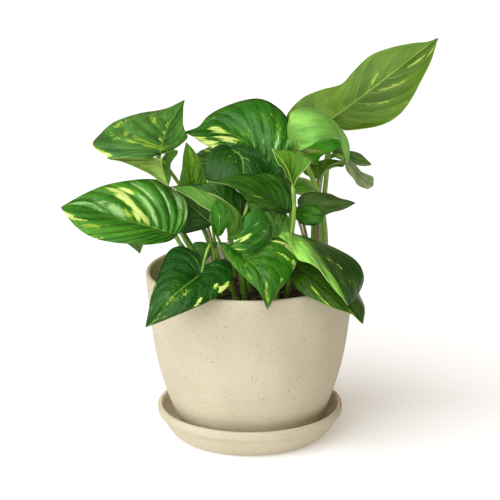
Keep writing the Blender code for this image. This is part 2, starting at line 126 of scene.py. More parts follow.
# Each leaf: stops on the midrib from base to tip; stops round the left edge and round the
# right edge, base to tip (left and right seen from the upper side, tip away); how much the
# left and right half arch (part of the half's width, up is positive); how far the lobes
# reach back behind the base.
LEAVES = {
    "far_left": (
        ((-57, -34, 174), (-100, -44, 190), (-145, -50, 201)),
        ((-67, -46, 171), (-84, -56, 173), (-103, -60, 175), (-121, -62, 181),
         (-135, -58, 189)),
        ((-50, -26, 181), (-48, -20, 189), (-51, -14, 198), (-61, -12, 206), (-73, -15, 213),
         (-93, -20, 214), (-112, -30, 213), (-131, -42, 207)),
        (0.10, 0.12), 0.1),
    "upper_left": (
        ((-70, -16, 234), (-65, 16, 247), (-52, 46, 263)),
        ((-83, -28, 234), (-96, -28, 235), (-109, -22, 233), (-122, -8, 238), (-118, 4, 244),
         (-107, 16, 252), (-88, 32, 254), (-69, 42, 256)),
        ((-58, -4, 236), (-49, 6, 241), (-53, 26, 248), (-53, 38, 257)),
        (0.10, -0.10), 0.1),
    "under_upper_left": (
        ((-69, -25, 232), (-67, -26, 224), (-63, -31, 212)),
        ((-76, -20, 233), (-85, -16, 234), (-102, -12, 233), (-111, -12, 230),
         (-99, -17, 228), (-80, -25, 222), (-71, -29, 217)),
        ((-62, -12, 236), (-56, -10, 235), (-61, -19, 227), (-61, -27, 219)),
        (0.05, 0.05), 0.0),
    "top_back": (
        ((18, 4, 212), (-10, 32, 236), (-52, 24, 242)),
        ((9, 8, 210), (-12, 17, 217), (-29, 18, 230), (-40, 21, 235)),
        ((27, 8, 210), (34, 14, 216), (38, 18, 225), (37, 24, 234), (34, 32, 243),
         (25, 42, 255), (10, 50, 262), (-7, 54, 260), (-24, 50, 255), (-34, 42, 250),
         (-41, 32, 244)),
        (0.12, 0.16), 0.1),
    "heart_middle": (
        ((-16, 8, 233), (-6, -8, 228), (-6, -27, 209)),
        ((-7, 6, 237), (1, 2, 236), (10, -2, 230), (15, -6, 221), (14, -16, 212)),
        ((-24, 4, 236), (-31, 0, 233), (-34, -5, 225), (-34, -11, 215), (-27, -18, 206)),
        (0.12, 0.12), 0.1),
    "long_middle": (
        ((32, -24, 190), (1, -38, 211), (-34, -46, 221)),
        ((21, -38, 193), (9, -45, 199), (-4, -49, 209), (-19, -48, 218)),
        ((32, -16, 201), (29, -11, 211), (18, -12, 217), (3, -20, 220), (-10, -32, 221),
         (-23, -42, 221)),
        (0.10, 0.12), 0.1),
    "rolled_long": (
        ((-16, -50, 176), (-17, -56, 185), (-20, -60, 195), (-28, -60, 200), (-38, -56, 205),
         (-48, -48, 210), (-61, -38, 214)),
        ((-9, -56, 178), (-5, -58, 187), (-6, -60, 195), (-10, -61, 202), (-18, -60, 208),
         (-26, -57, 213), (-36, -51, 215), (-46, -44, 216)),
        ((-12, -42, 174), (-5, -41, 182), (-1, -38, 192), (-3, -36, 203), (-12, -35, 211),
         (-25, -35, 216), (-39, -36, 216)),
        (-0.16, -0.10), 0.0),
    "small_bright": (
        ((-25, -61, 180), (-23, -70, 198), (-25, -66, 212)),
        ((-29, -66, 189), (-30, -67, 201), (-28, -66, 208)),
        ((-20, -65, 186), (-15, -70, 200), (-18, -69, 206), (-23, -67, 210)),
        (0.0, 0.10), 0.0),
    "glossy_front": (
        ((9, -40, 197), (14, -59, 189), (5, -74, 181), (-15, -78, 178)),
        ((16, -38, 193), (19, -48, 187), (17, -60, 181), (11, -69, 176), (4, -74, 174),
         (-5, -78, 174), (-11, -79, 175)),
        ((3, -48, 198), (-3, -57, 196), (-5, -64, 192), (-6, -70, 186), (-10, -76, 183)),
        (0.16, 0.20), 0.1),
    "front_centre": (
        ((-9, -63, 166), (6, -84, 161), (13, -98, 134)),
        ((9, -51, 170), (21, -52, 176), (30, -59, 175), (36, -64, 169), (35, -70, 161),
         (29, -80, 152), (21, -88, 145)),
        ((-17, -63, 175), (-25, -66, 177), (-19, -69, 169), (-11, -79, 161), (-2, -89, 154),
         (7, -95, 147)),
        (0.12, 0.10), 0.1),
    "front_right_top": (
        ((30, -60, 184), (41, -76, 182), (54, -90, 169), (68, -93, 147), (74, -92, 135)),
        ((39, -55, 176), (54, -47, 169), (66, -46, 167), (75, -50, 163), (83, -56, 156),
         (87, -62, 147), (83, -76, 140)),
        ((22, -70, 183), (30, -84, 180), (36, -95, 173), (45, -102, 171), (53, -103, 165),
         (60, -99, 155), (68, -97, 144)),
        (0.01, 0.12), 0.0),
    "front_right_low": (
        ((32, -50, 156), (58, -74, 144), (86, -84, 118)),
        ((46, -40, 159), (66, -39, 154), (79, -45, 141), (86, -60, 130), (87, -75, 124)),
        ((30, -64, 151), (36, -76, 144), (45, -86, 139), (59, -91, 135), (73, -91, 129)),
        (0.12, 0.12), 0.1),
    "front_left": (
        ((-37, -66, 152), (-56, -90, 144), (-79, -98, 120)),
        ((-22, -51, 160), (-16, -57, 160), (-13, -66, 155), (-15, -79, 148), (-29, -91, 140),
         (-47, -99, 133), (-64, -102, 127)),
        ((-40, -50, 164), (-53, -46, 168), (-63, -52, 165), (-69, -68, 155), (-74, -84, 141),
         (-77, -94, 130)),
        (0.12, 0.10), 0.0),
    "small_left": (
        ((-32, -42, 170), (-32, -48, 166), (-35, -53, 158)),
        ((-25, -42, 170), (-29, -47, 164)),
        ((-44, -42, 169), (-39, -50, 163)),
        (0.1, 0.1), 0.1),
    "back_left": (
        ((-98, 40, 182), (-98, 56, 156), (-90, 60, 131)),
        ((-118, 44, 177), (-106, 60, 146)),
        ((-74, 30, 180), (-85, 52, 147)),
        (0.1, 0.1), 0.28),
    "tall_right": (
        ((64, 26, 251), (106, 42, 280), (148, 34, 316)),
        ((75, 16, 246), (97, 15, 248), (114, 17, 256), (128, 22, 271), (139, 28, 293),
         (144, 32, 304)),
        ((48, 32, 241), (34, 40, 241), (29, 45, 248), (33, 49, 255), (43, 53, 264),
         (57, 56, 270), (73, 58, 274), (83, 58, 284), (96, 56, 297), (112, 50, 305),
         (129, 43, 310), (140, 38, 312)),
        (0.08, 0.10), 0.0),
    "dome_right": (
        ((39, -6, 234), (35, -13, 248), (31, -11, 262), (36, -5, 267), (47, 2, 266),
         (61, 10, 257), (71, 14, 247), (75, 14, 232), (76, 12, 217)),
        ((42, -16, 238), (50, -27, 246), (57, -29, 250), (65, -23, 249), (71, -9, 243),
         (74, 4, 229)),
        ((43, 8, 229), (48, 14, 224), (53, 18, 216), (56, 22, 222), (64, 25, 226),
         (70, 23, 230), (74, 17, 228)),
        (-0.28, -0.25), 0.0),
    "underside_middle": (
        ((33, -34, 212), (28, -30, 227), (17, -20, 240)),
        ((36, -34, 219), (40, -32, 224), (43, -29, 226), (47, -23, 231), (40, -20, 235),
         (30, -19, 238), (23, -19, 238)),
        ((31, -35, 218), (28, -35, 223), (25, -34, 228), (22, -32, 231), (19, -25, 236)),
        (0.12, 0.10), 0.0),
    "shade_right": (
        ((54, 6, 208), (64, 12, 218), (77, 20, 220)),
        ((57, 4, 213), (61, 8, 216), (68, 13, 217), (74, 19, 215)),
        ((47, 8, 210), (42, 14, 212), (44, 20, 216), (53, 27, 218), (66, 27, 219)),
        (0.1, 0.1), 0.0),
    "hanging_right": (
        ((76, 30, 219), (84, 36, 206), (99, 40, 194)),
        ((81, 38, 214), (90, 45, 203), (98, 46, 199)),
        ((76, 26, 212), (81, 29, 203), (88, 33, 195), (94, 37, 192)),
        (0.1, 0.1), 0.1),
    "tip_right": (
        ((64, 56, 221), (83, 74, 209), (100, 92, 198)),
        ((71, 68, 218), (79, 80, 210), (87, 87, 208), (93, 91, 205)),
        ((70, 58, 212), (79, 68, 206), (88, 78, 201), (95, 87, 198)),
        (0.1, 0.1), 0.1),
    "right_mid": (
        ((38, -16, 192), (61, -10, 192), (83, -2, 191)),
        ((38, -10, 197), (43, -7, 200), (50, -5, 201), (60, -1, 198), (72, 1, 194)),
        ((40, -22, 187), (50, -23, 185), (59, -19, 186), (67, -14, 187), (75, -7, 188)),
        (0.1, 0.1), 0.1),
    "round_right": (
        ((36, -22, 188), (46, -33, 190), (57, -38, 190)),
        ((36, -19, 192), (43, -25, 197), (51, -31, 197), (55, -36, 194)),
        ((38, -27, 183), (43, -33, 182), (50, -37, 183), (55, -38, 186)),
        (0.2, 0.2), 0.3),
    "shade_left": (
        ((-29, -14, 177), (-42, -12, 188), (-60, -10, 202)),
        ((-34, -13, 174), (-43, -12, 171), (-53, -11, 170), (-59, -10, 178), (-61, -9, 191)),
        ((-24, -12, 184), (-28, -10, 196), (-38, -9, 204), (-50, -8, 206)),
        (0.1, 0.1), 0.0),
    "upright_left": (
        ((-45, 2, 196), (-47, 0, 219), (-50, 4, 239)),
        ((-53, 2, 201), (-55, 1, 209), (-53, 0, 220), (-52, 2, 230)),
        ((-35, 3, 200), (-34, 3, 209), (-39, 2, 225), (-46, 3, 235)),
        (0.1, 0.1), 0.1),
    "inner_striped": (
        ((28, -10, 185), (6, -22, 197), (-11, -26, 196)),
        ((31, -14, 176), (27, -25, 168), (15, -28, 170), (1, -29, 180), (-7, -29, 190)),
        ((27, -6, 196), (15, -8, 207), (1, -16, 210), (-9, -21, 204)),
        (0.1, 0.1), 0.1),
    "rear_middle": (
        ((-20, 52, 205), (-22, 80, 214), (-26, 108, 198)),
        ((-52, 62, 206), (-44, 92, 206)),
        ((10, 64, 208), (2, 94, 206)),
        (0.12, 0.12), 0.28),
    "rear_right": (
        ((26, 46, 192), (36, 78, 190), (42, 106, 168)),
        ((8, 66, 196), (18, 94, 180)),
        ((52, 56, 184), (56, 90, 176)),
        (0.12, 0.12), 0.28),
}

# Stalks that reach the leaf from its upper side, over the notch; the rest come from below.
OVER_THE_TOP = ("under_upper_left", "front_left")

# Each stalk: where it leaves the soil (X, Y), then the point half way along it.
STALKS = {
    "far_left": ((-30, -18), (-46, -28, 148)),
    "upper_left": ((-25, 2), (-66, 6, 190)),
    "under_upper_left": ((-20, 8), (-42, 4, 180)),
    "top_back": ((6, 4), (14, 8, 165)),
    "heart_middle": ((-6, 8), (-12, 4, 185)),
    "long_middle": ((20, -8), (30, -14, 155)),
    "rolled_long": ((-5, -22), (-9, -35, 152)),
    "small_bright": ((-11, -41), (-18, -48, 156)),
    "glossy_front": ((2, -14), (-2, -26, 155)),
    "front_centre": ((-4, -34), (-6, -52, 146)),
    "front_right_top": ((20, -36), (24, -42, 158)),
    "front_right_low": ((28, -22), (31, -38, 140)),
    "front_left": ((-25, -34), (-29, -59, 172)),
    "small_left": ((-20, -22), (-27, -34, 148)),
    "back_left": ((-34, 22), (-72, 20, 172)),
    "tall_right": ((50, 24), (60, 38, 190)),
    "dome_right": ((54, -4), (58, 4, 176)),
    "underside_middle": ((14, -26), (31, -38, 170)),
    "shade_right": ((48, 8), (54, 14, 165)),
    "hanging_right": ((52, 34), (56, 44, 200)),
    "tip_right": ((52, 38), (56, 52, 182)),
    "right_mid": ((46, -6), (46, -12, 155)),
    "round_right": ((44, -17), (45, -24, 150)),
    "shade_left": ((-14, -8), (-25, -8, 148)),
    "upright_left": ((-24, -16), (-32, 0, 166)),
    "inner_striped": ((10, -16), (8, -22, 160)),
    "rear_middle": ((-12, 30), (-17, 40, 168)),
    "rear_right": ((14, 26), (22, 36, 160)),
}

# Each leaf's finish: green of the upper side, green of the underside, how strongly the
# blade swells between its veins (mm), how much of it is flecked with cream (0 to 0.4),
# girth of its petiole (1 is usual).
FINISH = {
    "far_left": ("#3b7b1c", "#86a548", 1.5, 0.09, 1.15),
    "upper_left": ("#42752b", "#86a548", 0.7, 0.05, 1.3),
    "under_upper_left": ("#184004", "#597f2a", 0.3, 0.06, 1.1),
    "top_back": ("#25620f", "#86a548", 0.9, 0.07, 1.2),
    "heart_middle": ("#0e4104", "#86a548", 0.3, 0.03, 1.0),
    "long_middle": ("#27570e", "#86a548", 0.45, 0.04, 1.1),
    "rolled_long": ("#275510", "#4c7922", 0.2, 0.03, 0.9),
    "small_bright": ("#236304", "#86a548", 0.2, 0.03, 0.7),
    "glossy_front": ("#2e6b1e", "#86a548", 0.3, 0.03, 0.9),
    "front_centre": ("#2e670f", "#86a548", 0.5, 0.06, 1.0),
    "front_right_top": ("#204c0f", "#84b650", 0.4, 0.10, 1.0),
    "front_right_low": ("#2c5105", "#86a548", 0.3, 0.05, 1.0),
    "front_left": ("#084204", "#86a548", 0.3, 0.04, 0.75),
    "small_left": ("#1d4c04", "#86a548", 0.2, 0.07, 0.7),
    "back_left": ("#3d6a24", "#385919", 0.3, 0.06, 0.8),
    "tall_right": ("#0d2304", "#4b6b12", 0.35, 0.06, 1.3),
    "dome_right": ("#48a718", "#70a743", 0.3, 0.04, 1.5),
    "underside_middle": ("#042e04", "#4d7d11", 0.3, 0.03, 1.25),
    "shade_right": ("#6c924d", "#4f7412", 0.3, 0.03, 0.9),
    "hanging_right": ("#839766", "#657840", 0.3, 0.07, 1.3),
    "tip_right": ("#467b20", "#6a7f44", 0.3, 0.04, 0.8),
    "right_mid": ("#405d26", "#3f6418", 0.3, 0.06, 0.9),
    "round_right": ("#245904", "#4a7f2c", 0.2, 0.02, 0.8),
    "shade_left": ("#1b4704", "#3a5a14", 0.4, 0.04, 0.9),
    "upright_left": ("#4c7f11", "#5f8a30", 0.3, 0.14, 0.8),
    "inner_striped": ("#71b04a", "#86a548", 0.5, 0.11, 1.0),
    "rear_middle": ("#104d04", "#86a548", 0.6, 0.12, 1.0),
    "rear_right": ("#6bb632", "#86a548", 0.6, 0.09, 1.0),
}

# Leaves whose halves have different greens: (upper, under) of the left half, then of the
# right half. On dome_right the upper sides are painted light; on under_upper_left the right
# half is darker, on front_right_top the left half's upper side is darker and the right
# half's lighter, and on tall_right the right half's underside is lighter.
HALVES = {
    # painted light: the upper sides, which face into the dome's shaded hollow, are a bright
    # green, the right one brightest, standing in for light shining through the leaf
    "dome_right": (("#3a8a12", "#71a844"), ("#66cc30", "#71a844")),
    "under_upper_left": (("#4a7a22", "#6f8c38"), ("#2f6216", "#42691c")),
    "front_right_top": (("#17480a", "#84b440"), ("#78b044", "#84b440")),
    "tall_right": (("#4a7f2c", "#44620a"), ("#4a7f2c", "#52711e")),
}

# Larger markings of each tone: across (-1 left edge to 1 right edge) and along (0 base to 1
# tip, measured with the sweep of the side veins), half-width across, half-length along,
# strength. The silver tone is partly the leaf's own silvery marbling and partly painted
# sheen, laid where the swollen blade would catch the light.
MARKS = {
    "far_left": {
        "cream": ((0.74, 0.593, 0.18, 0.03, 0.82), (0.56, 0.62, 0.18, 0.032, 0.82),
            (0.42, 0.63, 0.17, 0.027, 0.78), (0.27, 0.629, 0.16, 0.027, 0.76),
            (0.17, 0.604, 0.16, 0.024, 0.76), (0.11, 0.586, 0.13, 0.024, 0.75),
            (0.75, 0.54, 0.13, 0.027, 0.7), (0.17, 0.706, 0.18, 0.034, 0.6),
            (0.15, 0.657, 0.16, 0.027, 0.65), (-0.98, 0.784, 0.26, 0.027, 0.82),
            (-0.87, 0.751, 0.26, 0.018, 0.78), (-0.96, 0.486, 0.1, 0.018, 0.75)),
        "lime": ((-0.74, 0.671, 0.21, 0.027, 0.56),),
        "silver": ((0.25, 0.757, 0.29, 0.054, 0.62), (0.41, 0.769, 0.33, 0.041, 0.5),
            (0.33, 0.834, 0.33, 0.027, 0.48), (0.53, 0.833, 0.39, 0.027, 0.5),
            (0.67, 0.85, 0.39, 0.027, 0.5), (0.66, 0.444, 0.34, 0.019, 0.58),
            (0.44, 0.509, 0.26, 0.027, 0.64), (0.18, 0.509, 0.16, 0.024, 0.62),
            (0.65, 0.326, 0.39, 0.018, 0.58), (0.76, 0.138, 0.26, 0.108, 0.6),
            (0.74, 0.063, 0.18, 0.081, 0.6), (0.96, 0.137, 0.26, 0.068, 0.64)),
    },
    "upper_left": {
        "cream": ((-0.04, 0.79, 0.05, 0.054, 0.66), (-0.03, 0.704, 0.05, 0.054, 0.66),
            (-0.04, 0.59, 0.05, 0.054, 0.6), (-0.99, 0.152, 0.07, 0.054, 0.75)),
        "lime": ((-0.82, 0.45, 0.07, 0.041, 0.5), (-0.58, 0.427, 0.08, 0.027, 0.52),
            (-0.44, 0.357, 0.08, 0.027, 0.48), (-0.73, 0.361, 0.1, 0.041, 0.42),
            (-0.18, 0.418, 0.29, 0.018, 0.78), (-0.07, 0.341, 0.21, 0.018, 0.78),
            (-0.44, 0.702, 0.16, 0.027, 0.42), (-1.0, 0.181, 0.07, 0.054, 0.66)),
    },
    "top_back": {
        "cream": ((0.15, 0.86, 0.21, 0.027, 0.92), (-0.18, 0.83, 0.23, 0.027, 0.95),
            (-0.45, 0.712, 0.23, 0.027, 0.9), (-0.48, 0.66, 0.18, 0.022, 0.86),
            (-1.0, 0.715, 0.21, 0.041, 0.88), (-0.98, 0.632, 0.23, 0.047, 0.92),
            (-1.0, 0.558, 0.21, 0.041, 0.9), (0.73, 0.255, 0.04, 0.018, 0.6)),
        "lime": ((-0.33, 0.716, 0.21, 0.018, 0.71), (0.73, 0.745, 0.05, 0.018, 0.52)),
        "silver": ((0.2, 0.586, 0.26, 0.018, 0.44), (0.17, 0.463, 0.26, 0.018, 0.46),
            (0.11, 0.365, 0.26, 0.018, 0.48), (0.51, 0.302, 0.26, 0.027, 0.5),
            (0.75, 0.183, 0.16, 0.027, 0.52)),
    },
    "front_left": {
        "cream": ((-0.76, 0.397, 0.08, 0.027, 0.82), (-0.93, 0.357, 0.08, 0.027, 0.82),
            (-0.95, 0.327, 0.08, 0.027, 0.8), (-0.97, 0.295, 0.08, 0.02, 0.78),
            (-0.84, 0.527, 0.07, 0.018, 0.8), (-0.93, 0.533, 0.07, 0.018, 0.76)),
        "lime": ((-0.71, 0.858, 0.39, 0.027, 0.38), (-0.11, 0.805, 0.18, 0.041, 0.26),
            (-0.25, 0.687, 0.18, 0.041, 0.26), (1.0, 0.593, 0.13, 0.054, 0.46)),
    },
    "front_centre": {
        "cream": ((-0.77, 0.307, 0.13, 0.018, 0.82), (-0.84, 0.309, 0.1, 0.019, 0.82),
            (-0.88, 0.333, 0.1, 0.022, 0.84), (-0.9, 0.376, 0.1, 0.024, 0.86),
            (-0.75, 0.481, 0.26, 0.018, 0.7), (-0.95, 0.462, 0.08, 0.027, 0.8),
            (-0.99, 0.481, 0.07, 0.027, 0.8)),
        "lime": ((-0.8, 0.659, 0.07, 0.018, 0.68), (-0.22, 0.835, 0.07, 0.018, 0.68),
            (0.41, 0.565, 0.18, 0.041, 0.4), (0.73, 0.622, 0.18, 0.041, 0.4),
            (-0.32, 0.91, 0.5, 0.054, 0.5)),
    },
    "glossy_front": {
        "cream": ((0.61, 0.768, 0.16, 0.027, 0.8), (0.56, 0.816, 0.16, 0.027, 0.78),
            (0.31, 0.939, 0.26, 0.03, 0.8), (1.0, 0.75, 0.26, 0.027, 0.7),
            (-0.78, 0.812, 0.13, 0.027, 0.75)),
        "silver": ((0.07, 0.757, 0.13, 0.027, 0.44), (-0.02, 0.846, 0.16, 0.027, 0.4),
            (0.5, 0.626, 0.18, 0.018, 0.5)),
    },
    "front_right_top": {
        "cream": ((-0.27, 0.7, 0.1, 0.018, 0.6), (-0.47, 0.677, 0.09, 0.018, 0.62),
            (-0.69, 0.708, 0.09, 0.018, 0.66)),
        "silver": ((0.48, 0.57, 0.39, 0.027, 0.4), (0.91, 0.459, 0.26, 0.027, 0.38)),
    },
    "front_right_low": {
        "lime": ((0.91, 0.484, 0.05, 0.022, 0.6), (0.95, 0.503, 0.05, 0.019, 0.6),
            (0.73, 0.474, 0.13, 0.018, 0.6), (0.95, 0.723, 0.13, 0.027, 0.52)),
        "silver": ((0.27, 0.692, 0.21, 0.018, 0.54),),
    },
    "long_middle": {
        "lime": ((-0.65, 0.52, 0.13, 0.018, 0.68),),
    },
    "tall_right": {
        "cream": ((-0.35, 0.84, 0.13, 0.019, 0.58), (-0.47, 0.842, 0.13, 0.019, 0.56),
            (-0.8, 0.812, 0.1, 0.027, 0.62), (0.26, 0.689, 0.18, 0.018, 0.46),
            (-0.4, 0.7, 0.29, 0.018, 0.44), (-0.22, 0.693, 0.21, 0.018, 0.42),
            (-0.42, 0.544, 0.26, 0.018, 0.42), (-0.86, 0.429, 0.23, 0.018, 0.36)),
    },
    "heart_middle": {
        "lime": ((0.01, 0.552, 0.26, 0.018, 0.44), (0.12, 0.702, 0.08, 0.018, 0.4)),
        "silver": ((-0.12, 0.694, 0.18, 0.018, 0.5),),
    },
    "upright_left": {
        "lime": ((0.55, 0.821, 0.13, 0.041, 0.4), (0.5, 0.767, 0.13, 0.041, 0.36)),
    },
    "small_bright": {
        "lime": ((-0.24, 0.833, 0.39, 0.027, 0.36),),
    },
    "inner_striped": {
        "silver": ((0.42, 0.838, 0.39, 0.027, 0.6), (-0.18, 0.796, 0.39, 0.027, 0.64)),
    },
    "rolled_long": {
        "cream": ((0.94, 0.217, 0.39, 0.019, 0.76),),
    },
    "dome_right": {
        "cream": ((0.84, 0.456, 0.26, 0.041, 0.6),),
    },
    "rear_middle": {
        "cream": ((0.5, 0.5, 0.3, 0.05, 0.5), (-0.4, 0.6, 0.3, 0.03, 0.5)),
    },
    "rear_right": {
        "cream": ((-0.5, 0.4, 0.3, 0.04, 0.5),),
        "lime": ((0.4, 0.6, 0.25, 0.03, 0.45),),
    },
    "back_left": {
        "lime": ((0.2, 0.5, 0.2, 0.04, 0.4),),
    },
    "small_left": {
        "lime": ((0.0, 0.25, 0.6, 0.14, 0.4),),
    },
}


# ---------------------------------------------------------------- materials

EASED = {"interpolation_type": "SMOOTHSTEP"}


def hex_colour(code):
    """An sRGB hex code as linear RGBA."""
    parts = [int(code[i:i + 2], 16) / 255 for i in (1, 3, 5)]
    linear = [c / 12.92 if c <= 0.04045 else ((c + 0.055) / 1.055) ** 2.4 for c in parts]
    return (*linear, 1.0)


def feed(tree, node, inputs):
    """Give a node's inputs their values or links. A node stands for its first output."""
    for socket, value in inputs.items():
        if isinstance(value, bpy.types.Node):
            value = value.outputs[0]
        if isinstance(value, bpy.types.NodeSocket):
            tree.links.new(value, node.inputs[socket])
        else:
            node.inputs[socket].default_value = value


def add(tree, kind, inputs=None, **settings):
    """Add one shader node with its settings and links."""
    made = tree.nodes.new("ShaderNode" + kind)
    for name, value in settings.items():
        setattr(made, name, value)
    feed(tree, made, inputs or {})
    return made


def new_material(name):
    """An empty Principled material: the material, its tree and its shader."""
    material = bpy.data.materials.new(name)
    material.use_nodes = True
    tree = material.node_tree
    return material, tree, tree.nodes["Principled BSDF"]


def weigh(tree, *parts):
    """Patterns added together, each with its own weight."""
    total = 0.0
    for pattern, weight in parts:
        total = add(tree, "Math", {0: pattern, 1: weight, 2: total},
                    operation="MULTIPLY_ADD")
    return total


def lay(tree, colour, pattern, low, high, code, strength=1.0):
    """Another colour laid over one, more and more as a pattern goes from low to high."""
    share = add(tree, "MapRange", {0: pattern, 1: low, 2: high, 4: strength}, **EASED)
    return add(tree, "Mix", {0: share, 6: colour, 7: hex_colour(code)},
               data_type="RGBA").outputs[2]


def mottle(tree, colour, pattern, dark, light, hues=None, **easing):
    """A colour that a noise pattern makes darker and lighter, and may turn in hue."""
    inputs = {"Color": colour, "Value": add(
        tree, "MapRange", {0: pattern, 1: 0.3, 2: 0.7, 3: dark, 4: light}, **easing)}
    if hues:
        inputs["Hue"] = add(tree, "MapRange",
                            {0: pattern, 1: 0.3, 2: 0.7, 3: hues[0], 4: hues[1]})
    return add(tree, "HueSaturation", inputs)


def blade_axes(tree):
    """Across (0 midrib, 1 edge), how far along counting the side veins' sweep, and the
    wave between them (0 on a vein, 1 half way to the next)."""
    flat = add(tree, "SeparateXYZ", {0: add(tree, "UVMap", uv_map="blade")})
    across = add(tree, "Math", {0: flat.outputs[0], 1: 2.0, 2: -1.0},
                 operation="MULTIPLY_ADD")
    across = add(tree, "Math", {0: across}, operation="ABSOLUTE")
    squared = add(tree, "Math", {0: across, 1: across}, operation="MULTIPLY")
    phase = weigh(tree, (flat.outputs[1], 1.0), (across, -VEIN_SWEEP[0]),
                  (squared, -VEIN_SWEEP[1]))
    turn = add(tree, "Math", {0: phase, 1: VEINS * math.pi}, operation="MULTIPLY")
    swing = add(tree, "Math", {0: turn}, operation="SINE")
    return across, phase, add(tree, "Math", {0: swing}, operation="ABSOLUTE")


def streaks(tree, across, phase, fine_across, fine_along, seed_shift, detail):
    """Noise drawn out along the side veins, different on every leaf."""
    seed = add(tree, "Attribute", attribute_name="seed").outputs["Fac"]
    spot = add(tree, "CombineXYZ", {
        0: add(tree, "Math", {0: across, 1: fine_across}, operation="MULTIPLY"),
        1: add(tree, "Math", {0: phase, 1: fine_along}, operation="MULTIPLY"),
        2: add(tree, "Math", {0: seed, 1: seed_shift}, operation="ADD")})
    return add(tree, "TexNoise", {"Vector": spot, "Scale": 1.0, "Detail": detail,
                                  "Roughness": 0.6})


def veined(tree, across, wave, fibre, tissue, line, side, midrib, code):
    """Tissue with light veins. line is a side vein's half-width as a part of the gap, and
    side its strength near the midrib and at the edge, where it feathers out. midrib is
    where that ends, across its soft edge, and its strength."""
    lines = add(tree, "MapRange", {0: wave, 1: 0.0, 2: line, 3: 1.0, 4: 0.0}, **EASED)
    feather = add(tree, "MapRange", {0: fibre, 1: 0.35, 2: 0.65, 3: 0.25, 4: 1.0}, **EASED)
    fade = add(tree, "MapRange", {0: across, 1: 0.1, 2: 0.9, 3: side[0], 4: side[1]},
               **EASED)
    lines = add(tree, "Math", {0: lines, 1: feather}, operation="MULTIPLY")
    lines = add(tree, "Math", {0: lines, 1: fade}, operation="MULTIPLY")
    rib = add(tree, "MapRange", {0: across, 1: midrib[0], 2: midrib[1], 3: midrib[2],
                                 4: 0.0}, **EASED)
    lines = add(tree, "Math", {0: lines, 1: rib}, operation="MAXIMUM")
    return add(tree, "Mix", {0: lines, 6: tissue, 7: hex_colour(code)},
               data_type="RGBA").outputs[2]


def waxy_leaf_skin():
    """Upper side of a pothos leaf: a waxy cuticle over deep green tissue. It shines softly,
    the tissue swells between pale feathered veins with painted shade in the valleys along
    them, and cream, lime and pale grey-green marbling runs along the veins with small flecks
    scattered round it; the pale grey-green is partly painted sheen."""
    material, tree, shader = new_material("pothos_leaf_waxy_upper")
    across, phase, wave = blade_axes(tree)
    green = add(tree, "Attribute", attribute_name="upper_green")
    marks = add(tree, "SeparateColor", {0: add(tree, "Attribute", attribute_name="marks")})
    ridges = add(tree, "Attribute", attribute_name="ridges").outputs["Fac"]
    cloud = streaks(tree, across, phase, 2.2, 4.5, 3.0, 3.0)
    tissue = mottle(tree, green, cloud, 0.62, 1.48, (0.508, 0.490))
    # fibres between the veins, one every 0.7 mm or so
    fibre = streaks(tree, across, phase, 2.5, 85.0, 7.0, 2.0)
    tissue = mottle(tree, tissue, fibre, 0.84, 1.20)
    # painted shade: the deeper the swelling, the darker the valley along each vein
    painted_valley_shade = add(tree, "MapRange", {0: wave, 1: 0.05, 2: 0.62, 3: 0.42, 4: -0.06}, **EASED)
    painted_valley_shade = add(tree, "Math", {0: ridges, 1: painted_valley_shade}, operation="MULTIPLY")
    tissue = add(tree, "HueSaturation", {"Color": tissue, "Value": add(
        tree, "Math", {0: 1.0, 1: painted_valley_shade}, operation="SUBTRACT")})
    colour = veined(tree, across, wave, fibre, tissue, 0.12, (0.30, 0.04),
                    (0.006, 0.030, 0.60), "#8dbd45")
    # small flecks, 1 mm wide and 3 mm long, thick in some places and absent in others
    fine = streaks(tree, across, phase, 11.0, 78.0, 17.0, 1.0)
    thick = add(tree, "MapRange", {0: cloud, 1: 0.35, 2: 0.62, 3: -0.20, 4: 0.06})
    fleck = weigh(tree, (fine, 1.0), (thick, 1.0), (marks.outputs[1], 1.0))
    colour = lay(tree, colour, fleck, 0.74, 0.86, "#a3bd3f", 0.75)
    # broad marbling with ragged ends: silver (partly painted sheen on the swellings), lime,
    # the cream's lime fringe, then cream
    broad = streaks(tree, across, phase, 3.4, 24.0, 11.0, 6.0)
    marble = weigh(tree, (broad, 0.72), (fine, 0.28))
    ragged = weigh(tree, (broad, 0.55), (fine, 0.48))
    for channel, pattern, low, high, code in (
            (2, ragged, 0.82, 1.08, "#9fce7c"), (1, marble, 0.90, 1.06, "#8fbf26"),
            (0, marble, 0.88, 1.02, "#a2c83c"), (0, marble, 0.98, 1.12, "#d6e884")):
        level = weigh(tree, (pattern, 1.0), (marks.outputs[channel], 1.0))
        colour = lay(tree, colour, level, low, high, code, 0.92)
    # the tissue puckers every 4 mm or so between the veins, which breaks up the shine
    pucker = streaks(tree, across, phase, 6.0, 26.0, 23.0, 2.0)
    swelling = add(tree, "Math", {0: wave, 1: ridges}, operation="MULTIPLY")
    relief = weigh(tree, (cloud, 1.1), (pucker, 1.3), (fibre, 0.35), (swelling, 1.0))
    feed(tree, shader, {
        "Base Color": colour, "IOR": 1.42, "Specular IOR Level": 0.50,
        "Specular Tint": (0.82, 1.0, 0.62, 1.0),
        "Roughness": add(tree, "MapRange", {0: cloud, 1: 0.3, 2: 0.7, 3: 0.23, 4: 0.36}),
        "Normal": add(tree, "Bump", {"Strength": 0.8, "Distance": 0.0012,
                                     "Height": relief})})
    return material


